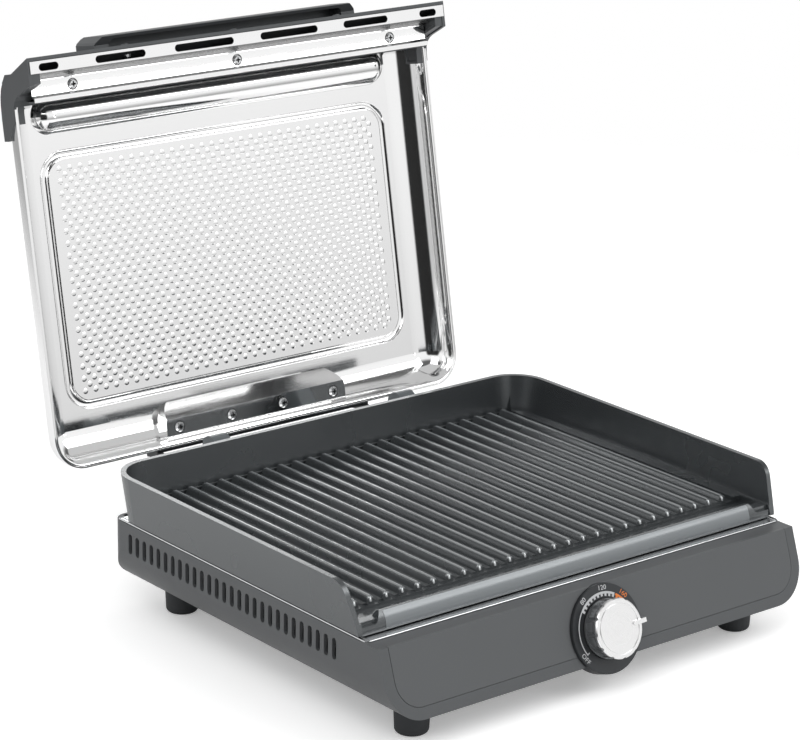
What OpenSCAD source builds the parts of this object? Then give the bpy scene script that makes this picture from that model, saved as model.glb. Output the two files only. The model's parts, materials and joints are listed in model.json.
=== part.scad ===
// Electric indoor griddle-grill with a hinged lid.
// Millimetres, +Z up, front towards -Y, resting on z = 0.
// Drawn with the lid open on its stop and the dial at its highest setting.

/* [Base] */
// Width of the base housing
base_w = 388; // [380:1:392]
// Height of the top edge of the base
base_top = 74; // [72:1:78]
// Height of the underside of the base, which the feet stand clear of
base_bottom = 23.5; // [20:0.5:26]
// Position of the top front edge of the fascia
front_y = -217.7; // [-219:0.1:-216]
// Depth from that edge to the rear face of the base
base_d = 313; // [311:1:315]
// Radius of the long lower edges
base_r = 28; // [20:1:28]
// Wall thickness of the moulded base
wall = 2.6; // [2:0.1:3]
// Backward lean of the fascia in degrees
lean = 19; // [15:0.5:20]
// Thickness of the fascia cap, square to its face
cap_t = 15.1; // [12:0.1:16]
// Margin between the fascia edge and its inset panel
panel_margin = 8; // [6:0.5:10]

/* [Side slots] */
// Number of slots in each side
slot_count = 28; // [12:1:28]
// Distance from slot to slot
slot_pitch = 8.96; // [8:0.01:9]
// Width of one slot
slot_w = 4.6; // [3:0.1:5]
// Height of one slot
slot_h = 15.5; // [10:0.5:16]

/* [Feet] */
// Radius of a foot
foot_r = 13; // [10:0.5:14]
// Sideways distance of the feet from the middle
foot_x = 152.5; // [140:0.5:154]

/* [Dial] */
// Radius of the bezel disc
bezel_r = 31.7; // [30:0.1:32]
// Height of the dial centre
dial_z = 44.6; // [43:0.1:46]
// Radius of the knob
knob_r = 21.2; // [19:0.1:22]
// Length of the knob
knob_h = 13; // [11:0.1:14]
// Radius of the thermostat shaft
shaft_r = 3; // [2.5:0.1:3.5]
// Running clearance of the shaft in its bushing
shaft_fit = 0.05; // [0.02:0.01:0.1]
// Turn of the dial away from its highest setting, in degrees
dial_turn = 0; // [0:1:212]

/* [Grill plate] */
// Width over the rim of the plate
plate_w = 400; // [398:1:402]
// Height of the rim of the plate
rim_z = 113; // [112:1:114]
// Thickness of the plate walls
plate_wall = 4; // [3.5:0.1:4.5]
// Number of cooking ridges
ridge_count = 26; // [12:2:26]
// Distance from ridge to ridge
ridge_pitch = 13.85; // [12:0.05:13.85]
// Height of the ridges above the grooves
ridge_h = 5.5; // [4:0.5:6]
// Height of the groove floor
groove_z = 81.5; // [81:0.5:82]

/* [Lid] */
// Width of the steel lid
lid_w = 390; // [388:1:390]
// Height of the lid shell
lid_h = 25.85; // [25:0.05:27]
// Thickness of the steel
steel_t = 1; // [0.8:0.1:1.2]
// Opening angle of the lid in degrees
lid_open = 100.8; // [0:0.1:100.8]
// Half width of the raised centre panel
bead_hw = 165; // [155:1:168]
// Radius of the hinge pins
pin_r = 2.5; // [2:0.1:3]
// Running clearance of the hinge pins
pin_fit = 0.05; // [0.02:0.01:0.1]

/* [Heating element] */
// Radius of the element tube
tube_r = 3.3; // [3:0.1:4]

/* [Hidden] */
$fn = 48;
rear_y = front_y + base_d;
base_hw = base_w / 2;
tan_lean = tan(lean);
plate_hw = plate_w / 2;
lid_hw = lid_w / 2;
// Height of the rim plane of the closed lid, resting on the rear wall of the plate
seat_z = rim_z + 0.35;
// Centre of the hinge pins
hinge_y = rear_y + 23;
hinge_z = 71.75;
// Rear rim of the closed lid
lid_y = rear_y - 0.5;
lid_top = seat_z + lid_h;
// Front rim of the closed lid, set back from the front edge of the base
lid_yf = front_y + 16.5;
dial_axis_y = front_y - (base_top - dial_z) * tan_lean;
foot_front_y = front_y + 14.4;
foot_rear_y = rear_y - 30;

// ---------- shared shapes ----------

// Flat rectangle with round corners, centred on X, from y0 to y1
module rounded(hw, y0, y1, r) {
    translate([-hw + r, y0]) square([2 * (hw - r), y1 - y0]);
    translate([-hw, y0 + r]) square([2 * hw, y1 - y0 - 2 * r]);
    for (x = [-hw + r, hw - r], y = [y0 + r, y1 - r]) translate([x, y]) circle(r);
}

// Flat U outline: square at the top, round at the two lower corners
module u_outline(hw, z0, z1, r) {
    translate([-hw + r, z0]) square([2 * (hw - r), z1 - z0]);
    translate([-hw, z0 + r]) square([2 * hw, z1 - z0 - r]);
    intersection() {
        for (x = [-hw + r, hw - r]) translate([x, z0 + r]) circle(r);
        translate([-hw, z0]) square([2 * hw, r + 0.1]);
    }
}

// The same outline as a long bar running from y0 to y1
module u_bar(hw, z0, z1, r, y0, y1) {
    translate([0, y1, 0]) rotate([90, 0, 0]) linear_extrude(y1 - y0) u_outline(hw, z0, z1, r);
}

// Frame on the fascia: X across, Y up the face, Z out of it, origin on its top edge
module on_face() {
    translate([0, front_y, base_top]) rotate([90 - lean, 0, 0]) children();
}

// Slab behind the fascia, from depth a to depth b
module face_slab(a, b) {
    on_face() translate([-260, -120, -b]) cube([520, 240, b - a]);
}

// Frame on the dial axis: Z points out of the fascia
module on_dial() {
    translate([0, dial_axis_y, dial_z]) rotate([90 - lean, 0, 0]) children();
}

// Pose of everything that turns with the dial
module dial_pose() {
    on_dial() rotate([0, 0, dial_turn]) children();
}

// Pose of everything on the lid: drawn closed, swung up about the hinge
module lid_pose() {
    translate([0, hinge_y, hinge_z]) rotate([-lid_open, 0, 0])
        translate([0, -hinge_y, -hinge_z]) children();
}

// Pan-head screw pointing down -Z with its head seated at z = 0
module screw(head_r, shank_r, len, head_h = 1.8) {
    difference() {
        union() {
            cylinder(h = head_h, r1 = head_r, r2 = head_r * 0.72);
            translate([0, 0, -len]) cylinder(h = len + 0.1, r = shank_r);
        }
        for (a = [0, 90]) rotate([0, 0, a])
            translate([-head_r * 0.55, -0.4, head_h - 0.9]) cube([head_r * 1.1, 0.8, 2]);
    }
}

// ---------- base ----------

module base_shell() {
    slot_z = base_top - 14.75;
    color("dimgray") difference() {
        u_bar(base_hw, base_bottom, base_top, base_r, front_y - 40, rear_y - 11);
        // open inside, closed floor
        u_bar(base_hw - wall, base_bottom + wall, base_top + 9, base_r - wall,
            front_y - 60, rear_y + 5);
        // leaning front end
        face_slab(-90, cap_t);
        // floor opening for the bottom cover
        translate([-120, front_y + 60, base_bottom - 5]) cube([240, base_d - 110, 20]);
        // slots through both sides
        for (i = [0:slot_count - 1]) translate([0, rear_y - 24 - i * slot_pitch, slot_z])
            rotate([90, 0, 90]) translate([0, 0, -base_hw - 5])
                linear_extrude(2 * base_hw + 10) {
                    translate([-slot_w / 2, -slot_h / 2 + slot_w / 2])
                        square([slot_w, slot_h - slot_w]);
                    for (s = [-1, 1]) translate([0, s * (slot_h - slot_w) / 2])
                        circle(slot_w / 2);
                }
        // holes for the pegs of the feet
        for (x = [-foot_x, foot_x], y = [foot_front_y, foot_rear_y])
            translate([x, y, base_bottom - 5]) cylinder(h = 20, r = 4.05);
        // holes for the bottom cover screws
        for (x = [-127, 127], y = cover_screw_y) translate([x, y, base_bottom - 5])
            cylinder(h = 20, r = 1.6);
    }
}
cover_screw_y = [front_y + 80, front_y + 150, front_y + base_d - 70];

module front_fascia() {
    color("dimgray") difference() {
        intersection() {
            u_bar(base_hw, base_bottom, base_top, base_r, front_y - 60, front_y + 60);
            face_slab(0, cap_t);
        }
        // hollow behind the face, with a solid pad left behind the dial
        difference() {
            intersection() {
                u_bar(base_hw - wall, base_bottom + wall, base_top - wall, base_r - wall,
                    front_y - 60, front_y + 60);
                face_slab(5, cap_t + 10);
            }
            on_dial() translate([0, 0, -11]) cylinder(h = 30, r = bezel_r + 3);
        }
        // shallow pocket for the inset panel
        intersection() {
            u_bar(base_hw - panel_margin, base_bottom + panel_margin, base_top + 1,
                base_r - panel_margin, front_y - 60, front_y + 60);
            face_slab(-30, 2);
        }
        // seat of the bezel and the shaft bushing behind it
        on_dial() translate([0, 0, -7]) cylinder(h = 60, r = bezel_r + 0.3);
        on_dial() translate([0, 0, -40]) cylinder(h = 60, r = 8);
    }
}

module fascia_panel() {
    m = panel_margin + 0.35;
    color("dimgray") difference() {
        intersection() {
            u_bar(base_hw - m, base_bottom + m, base_top, base_r - m,
                front_y - 60, front_y + 60);
            face_slab(-0.1, 2);
        }
        on_dial() translate([0, 0, -30]) cylinder(h = 60, r = bezel_r + 0.3);
    }
}

module rear_panel() {
    color("dimgray") difference() {
        intersection() {
            u_bar(base_hw, base_bottom, base_top, base_r, rear_y - 11, rear_y);
            linear_extrude(200) rounded(base_hw, rear_y - 80, rear_y, 11);
        }
        translate([0, -wall, 0]) u_bar(base_hw - 8, base_bottom + 8, base_top + 5,
            base_r - 8, rear_y - 30, rear_y);
        // cable entry
        translate([-120, rear_y + 5, 45]) rotate([90, 0, 0]) cylinder(h = 20, r = 6);
        // air slots
        for (i = [-9:9]) translate([i * 8 - 2, rear_y - 10, 50]) cube([4, 20, 12]);
        // screw holes of the hinge bracket
        for (x = [-89.5, 89.5], z = [36, 46]) translate([x, rear_y + 5, z])
            rotate([90, 0, 0]) cylinder(h = 20, r = 1.6);
    }
}

module bottom_cover() {
    color("silver") difference() {
        translate([-133, front_y + 56, base_bottom - 1.2])
            cube([266, base_d - 110 + 8, 1.2]);
        for (x = [-127, 127], y = cover_screw_y) translate([x, y, base_bottom - 5])
            cylinder(h = 20, r = 1.6);
        for (i = [-7:7], y = [front_y + 80, front_y + 170])
            translate([i * 14 - 2, y, base_bottom - 5]) cube([4, 60, 20]);
    }
}

// Six screws hold the bottom cover
module base_screws() {
    color("silver") for (x = [-127, 127], y = cover_screw_y)
        translate([x, y, base_bottom - 1.2]) rotate([180, 0, 0]) screw(3.2, 1.6, 5);
}

module feet() {
    color("black") for (x = [-foot_x, foot_x], y = [foot_front_y, foot_rear_y])
        translate([x, y, 0]) {
            rotate_extrude() {
                translate([0, 3]) polygon([[0, 0], [foot_r - 1, 0],
                    [foot_r, base_bottom - 3], [0, base_bottom - 3]]);
                square([foot_r - 4, 4]);
                translate([foot_r - 4, 3]) circle(3);
            }
            cylinder(h = base_bottom + 5, r = 4);
        }
}

// Steel tray under the plate; its flange shows as a bright line round the base
module heat_liner() {
    z = base_top;
    yf = front_y + 13.7;
    yr = rear_y - 9;
    color("silver") {
        difference() {
            union() {
                translate([-190, yf, z]) cube([380, yr - yf, 1]);
                // rolled edge along the front and both sides
                translate([-190, yf, z + 0.7]) rotate([0, 90, 0]) cylinder(h = 380, r = 0.7);
                for (x = [-190, 190]) translate([x, yf, z + 0.7]) rotate([-90, 0, 0])
                    cylinder(h = yr - yf, r = 0.7);
                for (x = [-190, 190]) translate([x, yf, z + 0.7]) sphere(0.7);
                translate([-184, front_y + 42, z - 34]) cube([368, base_d - 62, 34.5]);
            }
            translate([-183, front_y + 43, z - 33]) cube([366, base_d - 64, 60]);
            for (x = liner_screw_x, y = [front_y + 70, rear_y - 50])
                translate([x, y, z - 50]) cylinder(h = 30, r = 1.6);
        }
    }
}
liner_screw_x = [-120, 0, 120];

element_z = 69.4;
element_x = [-150, -90, -30, 30, 90, 150];
element_yf = front_y + 80;
element_yr = rear_y - 58;

module heating_element() {
    color("dimgray") {
        for (x = element_x) translate([x, element_yf, element_z]) rotate([-90, 0, 0])
            cylinder(h = element_yr - element_yf, r = tube_r);
        for (x = [-120, 0, 120]) translate([x, element_yf, element_z])
            rotate([0, 0, 180]) rotate_extrude(angle = 180) translate([30, 0])
                circle(tube_r);
        for (x = [-60, 60]) translate([x, element_yr, element_z])
            rotate_extrude(angle = 180) translate([30, 0]) circle(tube_r);
    }
    // cold ends with their insulating collars
    color("white") for (x = [-150, 150]) translate([x, element_yr, element_z])
        rotate([-90, 0, 0]) {
            cylinder(h = 8, r = tube_r + 1.7);
            cylinder(h = 20, r = 1.5);
        }
}

// Standing brackets that carry the element over the tray
module element_clips() {
    color("silver") for (y = [element_yf + 20, element_yr - 20], x = [-120, 0, 120])
        difference() {
            union() {
                translate([x - 38, y - 0.8, base_top - 33])
                    cube([76, 1.6, element_z - base_top + 38]);
                translate([x - 38, y - 0.8, base_top - 33]) cube([76, 12, 1.2]);
            }
            for (dx = [-30, 30]) translate([x + dx, y - 5, element_z])
                rotate([-90, 0, 0]) cylinder(h = 20, r = tube_r);
            translate([x - 20, y - 5, base_top - 24]) cube([40, 20, 14]);
        }
}

module thermostat_body() {
    color("gray") on_dial() difference() {
        union() {
            translate([-15, -8, -33]) cube([30, 22, 22]);
            translate([0, 0, -12]) cylinder(h = 10, r = 6);
            for (x = [-9, 9]) translate([x - 3, -0.5, -42]) cube([6, 1, 10]);
        }
        translate([0, 0, -26]) cylinder(h = 60, r = shaft_r + shaft_fit);
    }
}

module terminal_block() {
    color("white") difference() {
        translate([-base_hw + 29, rear_y - 52, base_bottom + wall]) cube([40, 18, 12]);
        for (x = [6, 15, 25, 34]) translate([-base_hw + 29 + x, rear_y - 60, base_bottom + wall + 7])
            rotate([-90, 0, 0]) cylinder(h = 40, r = 2);
    }
}

module thermal_fuse() {
    color("silver") {
        translate([60, front_y + 140, base_top - 37]) rotate([0, 90, 0])
            cylinder(h = 14, r = 3);
        translate([54, front_y + 140, base_top - 37]) rotate([0, 90, 0])
            cylinder(h = 26, r = 0.8);
        translate([62, front_y + 134, base_top - 35]) cube([3, 12, 1]);
        translate([62, front_y + 138, base_top - 37]) cube([3, 4, 3]);
    }
}

module cord_gland() {
    color("black") translate([-120, rear_y + 7, 45]) rotate([90, 0, 0]) difference() {
        union() {
            cylinder(h = 7, r = 8);
            cylinder(h = 14, r = 5.95);
            translate([0, 0, 9.6]) cylinder(h = 4, r = 7.5);
        }
        translate([0, 0, -1]) cylinder(h = 30, r = 3.5);
    }
}

module dial_bezel() {
    color("black") on_dial() difference() {
        union() {
            translate([0, 0, -7]) cylinder(h = 9, r = bezel_r);
            translate([0, 0, 2]) cylinder(h = 0.4, r = bezel_r - 0.4);
        }
        // shallow seat behind the knob
        translate([0, 0, 1.4]) cylinder(h = 5, r = knob_r + 0.6);
        translate([0, 0, -20]) cylinder(h = 60, r = 6.1);
    }
}

// Bracket on the back of the base with the two ears of the hinge
module hinge_bracket() {
    color("gray") {
        difference() {
            translate([-97, rear_y, 30]) cube([194, 3, 42]);
            for (i = [-9:9]) translate([i * 8 - 2, rear_y - 10, 50]) cube([4, 20, 12]);
            for (x = [-89.5, 89.5], z = [36, 46]) translate([x, rear_y + 15, z])
                rotate([90, 0, 0]) cylinder(h = 20, r = 1.6);
        }
        for (x = [-97, 82]) difference() {
            translate([x, 0, 0]) rotate([90, 0, 90]) linear_extrude(15) ear_outline();
            translate([x - 5, hinge_y, hinge_z]) rotate([0, 90, 0])
                cylinder(h = 30, r = pin_r);
            translate([x - 5, ear_y, bar_z]) rotate([0, 90, 0]) cylinder(h = 30, r = 1.8);
        }
    }
}
ear_y = rear_y + 12.7;
bar_z = rim_z - 9;

module ear_outline() {
    translate([hinge_y, hinge_z]) circle(9);
    translate([ear_y, bar_z - 0.5]) circle(9);
    polygon([[ear_y - 9, bar_z - 0.5], [ear_y + 9, bar_z - 0.5], [hinge_y + 9, hinge_z],
        [hinge_y + 2, hinge_z - 8.7], [rear_y + 2.9, 52], [rear_y + 2.9, 70]]);
}

module hinge_cross_bar() {
    color("silver") translate([-97, ear_y, bar_z]) rotate([0, 90, 0])
        cylinder(h = 194, r = 1.8);
}

module hinge_pins() {
    color("silver") for (s = [-1, 1]) scale([s, 1, 1]) {
        translate([83, hinge_y, hinge_z]) rotate([0, 90, 0]) cylinder(h = 21.5, r = pin_r);
        translate([103.8, hinge_y, hinge_z]) rotate([0, 90, 0]) cylinder(h = 1.6, r = 4.2);
    }
}

module hinge_screws() {
    color("silver") for (x = [-89.5, 89.5], z = [36, 46])
        translate([x, rear_y + 3, z]) rotate([-90, 0, 0]) screw(3.2, 1.6, 6);
}

module rear_spacers() {
    color("dimgray") for (x = [-150, 150]) translate([x, rear_y, 64]) rotate([-90, 0, 0]) {
        cylinder(h = 4, r = 7);
        translate([0, 0, 4]) cylinder(h = 1.5, r1 = 7, r2 = 5.5);
    }
}

// ---------- dial ----------

module knob_shaft() {
    color("silver") dial_pose() difference() {
        translate([0, 0, -25.5]) cylinder(h = 37, r = shaft_r);
        translate([-5, shaft_r - 0.8, 4]) cube([10, 5, 20]);
    }
}

module knob_body() {
    color("black") dial_pose() difference() {
        union() {
            translate([0, 0, 2.7]) cylinder(h = 1.6, r = knob_r);
            // fluted grip
            translate([0, 0, 4]) linear_extrude(knob_h - 4) difference() {
                circle(knob_r - 0.9);
                for (a = [0:30:330]) rotate(a) translate([knob_r + 0.4, 0]) circle(2.4);
            }
        }
        // bore for the flatted shaft
        difference() {
            translate([0, 0, -5]) cylinder(h = 16.5, r = shaft_r);
            translate([-5, shaft_r - 0.8, 4]) cube([10, 5, 20]);
        }
    }
}

module knob_cap() {
    color("silver") dial_pose() difference() {
        union() {
            translate([0, 0, knob_h]) cylinder(h = 1.8, r = knob_r);
            translate([0, 0, knob_h + 1.8]) cylinder(h = 0.8, r1 = knob_r, r2 = knob_r - 0.8);
        }
        // scallops that carry on the flutes of the grip
        for (a = [0:30:330]) rotate(a) translate([knob_r + 1.2, 0, knob_h - 1])
            cylinder(h = 6, r = 2);
        // turned ring groove
        translate([0, 0, knob_h + 2]) difference() {
            cylinder(h = 5, r = knob_r - 3);
            translate([0, 0, -1]) cylinder(h = 9, r = knob_r - 4);
        }
    }
}

module knob_pointer() {
    color("silver") dial_pose() rotate([0, 0, -88]) {
        translate([-1.6, knob_r - 6.9, knob_h + 2.6]) cube([3.2, 10.2, 1.2]);
        translate([0, knob_r - 6.9, knob_h + 2.6]) cylinder(h = 1.2, r = 1.6);
        translate([-1.6, knob_r + 0.3, knob_h]) cube([3.2, 3, 3.2]);
    }
}

// ---------- grill plate ----------

plate_z0 = base_top + 3;
plate_draft = 5;
plate_corner = 30;
plate_yr = rear_y - 0.5;
plate_yf = front_y + 14;

// Solid block with drafted sides and round rear corners, inset by t, from height z0 to z1
module drafted_block(t, z0, z1) {
    k = plate_draft / (rim_z - plate_z0);
    h0 = plate_hw - t - (rim_z - z0) * k;
    h1 = plate_hw - t - (rim_z - z1) * k;
    c = plate_hw - plate_corner;
    cy = plate_yr - plate_corner;
    y0 = h0 - plate_hw + plate_yr;
    y1 = h1 - plate_hw + plate_yr;
    translate([0, cy, 0]) rotate([90, 0, 0]) linear_extrude(cy - plate_yf + 20)
        polygon([[-h0, z0], [h0, z0], [h1, z1], [-h1, z1]]);
    translate([-c, 0, 0]) rotate([90, 0, 90]) linear_extrude(2 * c)
        polygon([[plate_yf - 20, z0], [y0, z0], [y1, z1], [plate_yf - 20, z1]]);
    for (x = [-c, c]) translate([x, cy, z0]) cylinder(h = z1 - z0, r1 = h0 - c, r2 = h1 - c);
}

// Side view of the walls: high at the back, swept down at the front
module wall_side() {
    yc = front_y + 42.5;
    zc = rim_z - 14;
    translate([yc, zc]) circle(14);
    polygon([[yc, rim_z], [plate_yr + 20, rim_z], [plate_yr + 20, plate_z0],
        [plate_yf + 5.8, plate_z0], [plate_yf + 6.3, plate_z0 + 2.5],
        [yc - 13.16, zc + 4.79]]);
}

module along_x(hw) {
    translate([-hw, 0, 0]) rotate([90, 0, 90]) linear_extrude(2 * hw) children();
}

module grill_plate() {
    field_hw = ridge_count * ridge_pitch / 2 + 2;
    y_front = front_y + 49;
    y_back = rear_y - 10;
    color("black") {
        // side and rear walls
        difference() {
            intersection() {
                drafted_block(0, plate_z0, rim_z);
                along_x(plate_hw + 5) wall_side();
            }
            drafted_block(plate_wall, groove_z + 3, rim_z + 10);
            // field of grooves
            translate([-field_hw, y_front, groove_z])
                cube([2 * field_hw, y_back - y_front, 50]);
            // channel for the fat along the front
            translate([-189, front_y + 31, plate_z0 + 2.5])
                cube([378, y_front - front_y - 30, 50]);
            // space in front of the channel wall, between the side walls
            translate([-191, front_y - 20, plate_z0 - 5]) cube([382, 44, 50]);
        }
        // wall along the front of the channel, with a gap for pouring at each end
        difference() {
            along_x(191) intersection() {
                polygon([[front_y + 18, base_top + 1.8], [front_y + 30, base_top + 1.8],
                    [front_y + 32, plate_z0 + 0.2], [front_y + 31, plate_z0 + 4],
                    [front_y + 28.4, plate_z0 + 11], [front_y + 27.8, plate_z0 + 11.5],
                    [front_y + 18, plate_z0 + 11.5]]);
                translate([front_y + 37, plate_z0]) circle(16);
            }
            for (s = [-1, 1]) scale([s, 1, 1]) translate([0, front_y + 60, plate_z0])
                rotate([90, 0, 0]) linear_extrude(60) polygon([[171.5, 12], [173.5, 11.2],
                    [177.5, 5.3], [179.5, 4.5], [192, 4.5], [192, 12]]);
        }
        ridges(y_front, y_back);
    }
}

// Cooking ridges with sloped sides and bevelled front ends
module ridges(y0, y1) {
    d = y1 - y0;
    intersection() {
        translate([0, y1 - 1, groove_z - 0.5]) rotate([90, 0, 0]) linear_extrude(d - 3)
            for (i = [0:ridge_count - 1])
                translate([(i - (ridge_count - 1) / 2) * ridge_pitch, 0])
                    polygon([[-5.9, 0], [5.9, 0], [4.4, 1.5], [3.7, 1.9],
                        [2.4, ridge_h - 0.3], [1.6, ridge_h + 0.5],
                        [-1.6, ridge_h + 0.5], [-2.4, ridge_h - 0.3],
                        [-3.7, 1.9], [-4.4, 1.5]]);
        // steep noses with a small foot at the front ends
        along_x(250) polygon([[y0 + 1.6, groove_z - 1], [y0 + 1.6, groove_z + 0.7],
            [y0 + 2.8, groove_z + 0.9], [y0 + 3.7, groove_z + 4],
            [y0 + 4.7, groove_z + 5], [y0 + 6, groove_z + 6], [y1, groove_z + 6],
            [y1, groove_z - 1]]);
        translate([0, 0, groove_z - 2]) linear_extrude(12)
            for (i = [0:ridge_count - 1])
                translate([(i - (ridge_count - 1) / 2) * ridge_pitch, 0])
                    polygon([[-6, y1], [-6, y0 + 6.5], [-2.6, y0 + 1.5],
                        [2.6, y0 + 1.5], [6, y0 + 6.5], [6, y1]]);
    }
}

// Feet under the plate that rest on the flange of the tray
module plate_locators() {
    color("black") for (x = [-176, 146], y = [front_y + 33.8, rear_y - 20]) difference() {
        translate([x, y, base_top + 1]) cube([30, 8, plate_z0 - base_top - 1]);
        translate([x + 15, y + 4, base_top]) cylinder(h = 10, r = 1.6);
    }
}

// ---------- lid, drawn closed ----------

lid_r = 25;

// Solid dish: flat on top, quarter-round on all four sides, square below
module dish(hw, y0, y1, z0, z1, r) {
    c = z1 - r;
    translate([-hw, y0 + r, z0]) cube([2 * hw, y1 - y0 - 2 * r, c - z0]);
    translate([-hw + r, y0, z0]) cube([2 * (hw - r), y1 - y0, c - z0]);
    translate([-hw + r, y0 + r, z0]) cube([2 * (hw - r), y1 - y0 - 2 * r, z1 - z0]);
    for (x = [-hw + r, hw - r], y = [y0 + r, y1 - r]) translate([x, y, z0])
        cylinder(h = c - z0, r = r);
    intersection() {
        translate([-hw, y0, c - 0.01]) cube([2 * hw, y1 - y0, r + 0.01]);
        union() {
            for (x = [-hw + r, hw - r], y = [y0 + r, y1 - r]) translate([x, y, c]) sphere(r);
            for (x = [-hw + r, hw - r]) translate([x, y1 - r, c]) rotate([90, 0, 0])
                cylinder(h = y1 - y0 - 2 * r, r = r);
            for (y = [y0 + r, y1 - r]) translate([-hw + r, y, c]) rotate([0, 90, 0])
                cylinder(h = 2 * (hw - r), r = r);
        }
    }
}

module outer_dish(z0) {
    dish(lid_hw, lid_yf, lid_y, z0, lid_top + steel_t, lid_r);
}

bump_hw = lid_hw - 43;

// Long pressed bump inside the front of the lid, grown by g
module front_bump(g) {
    y = lid_yf + 32;
    intersection() {
        translate([0, y, lid_top + 3]) {
            translate([-bump_hw, 0, 0]) rotate([0, 90, 0]) cylinder(h = 2 * bump_hw, r = 15 + g);
            for (x = [-bump_hw, bump_hw]) translate([x, 0, 0]) sphere(15 + g);
        }
        translate([-lid_hw, y - 30, lid_top - 20]) cube([lid_w, 60, 20 + steel_t]);
    }
}

pocket_z = lid_top - 12.2;

// Pad pressed into the rear edge of the lid, where the hinge bracket sits, grown by g
module rear_pocket(g) {
    intersection() {
        along_x(86 + g) polygon([[lid_y + 10, pocket_z - g],
            [lid_y - 19 - 0.4 * g, pocket_z - g],
            [lid_y - 30 - 1.3 * g, lid_top + steel_t],
            [lid_y - 30 - 1.3 * g, lid_top + 6], [lid_y + 10, lid_top + 6]]);
        translate([0, 0, lid_top - 30]) linear_extrude(50)
            rounded(86 + g, lid_y - 31 - 1.3 * g, lid_y + 60, 18 + g);
    }
}

panel_y0 = lid_yf + 59;
panel_y1 = lid_y - 38.6;

// Round bead round the perforated panel, radius grown by g
module ring_bead(g) {
    c = 18.5;
    x1 = bead_hw - 3.5;
    ya = panel_y0 + 3.5;
    yb = panel_y1 - 3.5;
    r = bead_s + g;
    intersection() {
        translate([0, 0, lid_top - bead_s + 2.2]) {
            for (y = [ya, yb]) translate([-x1 + c, y, 0]) rotate([0, 90, 0])
                cylinder(h = 2 * (x1 - c), r = r);
            for (x = [-x1, x1]) translate([x, ya + c, 0]) rotate([-90, 0, 0])
                cylinder(h = yb - ya - 2 * c, r = r);
            translate([x1 - c, yb - c, 0]) rotate_extrude(angle = 90)
                translate([c, 0]) circle(r);
            translate([-x1 + c, yb - c, 0]) rotate([0, 0, 90]) rotate_extrude(angle = 90)
                translate([c, 0]) circle(r);
            translate([-x1 + c, ya + c, 0]) rotate([0, 0, 180]) rotate_extrude(angle = 90)
                translate([c, 0]) circle(r);
            translate([x1 - c, ya + c, 0]) rotate([0, 0, 270]) rotate_extrude(angle = 90)
                translate([c, 0]) circle(r);
        }
        translate([-lid_hw, lid_yf, lid_top - 0.5]) cube([lid_w, lid_y - lid_yf, 20]);
    }
}
bead_s = 3.9;

module lid_shell() {
    color("silver") lid_pose() difference() {
        union() {
            outer_dish(seat_z);
            ring_bead(steel_t);
        }
        // inside, less the pad and the bump that stand into it
        difference() {
            union() {
                dish(lid_hw - steel_t, lid_yf + steel_t, lid_y - steel_t, seat_z - 5,
                    lid_top, lid_r - steel_t);
                ring_bead(0);
            }
            rear_pocket(steel_t);
            front_bump(0);
        }
        rear_pocket(0);
        front_bump(-steel_t);
        // opening closed by the perforated panel
        translate([0, 0, lid_top - 3]) linear_extrude(10)
            rounded(bead_hw - 12, panel_y0 + 12, panel_y1 - 12, 10);
        // holes of the hinge screws
        for (x = [-75, -25, 25, 75]) translate([x, lid_y - 12, lid_top - 20])
            cylinder(h = 10, r = 2);
    }
}

// Perforated panel inside the pressed border
module lid_mesh() {
    color("silver") lid_pose() translate([0, 0, lid_top - 1]) linear_extrude(1)
        rounded(bead_hw - 7.2, panel_y0 + 7.2, panel_y1 - 7.2, 14.8);
}

bracket_z = lid_top - 13.2;

module lid_hinge_bracket() {
    color("black") lid_pose() difference() {
        union() {
            // block that fills the pressed pad from outside
            intersection() {
                outer_dish(seat_z);
                translate([0, 0, pocket_z]) linear_extrude(30) intersection() {
                    rounded(85.7, lid_y - 30.6, lid_y + 60, 18);
                    translate([-90, lid_y - 18.8]) square([180, 40]);
                }
            }
            translate([-85.7, lid_y - 7, pocket_z]) cube([171.4, 10, 5.8]);
            translate([-100.5, lid_y + 0.5, bracket_z - 7]) cube([201, 2.8, 14]);
            for (x = [-103, 97.5]) arm(x);
        }
        translate([-120, hinge_y, hinge_z]) rotate([0, 90, 0])
            cylinder(h = 240, r = pin_r + pin_fit);
        for (x = [-75, -25, 25, 75]) translate([x, lid_y - 12, lid_top - 20])
            cylinder(h = 17, r = 1.6);
    }
}

// Arm from the back of the lid down to the hinge pin
module arm(x) {
    dy = hinge_y - (lid_y + 6.8);
    dz = bracket_z - hinge_z;
    translate([x, 0, 0]) rotate([90, 0, 90]) linear_extrude(5.5) {
        translate([hinge_y, hinge_z]) {
            circle(7.5);
            rotate(atan2(dy, dz)) translate([-5.5, 0]) square([11, sqrt(dy * dy + dz * dz)]);
        }
        translate([lid_y + 0.5, bracket_z - 7.5]) square([6, 15]);
    }
}

// Four screws through the steel into the bracket
module bracket_screws() {
    color("silver") lid_pose() for (x = [-75, -25, 25, 75])
        translate([x, lid_y - 12, pocket_z - steel_t]) rotate([180, 0, 0]) screw(4.2, 1.6, 9);
}

skirt_z = lid_top - 52.7;
trim_yf = lid_yf - 15;
web_z = lid_top - 29;

// Slant of the trim face: distance from the rear rim at a depth w below the lid top
skirt_k = 0.459;
function skirt_y(w) = trim_yf + skirt_k * (52.7 - w);

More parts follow.
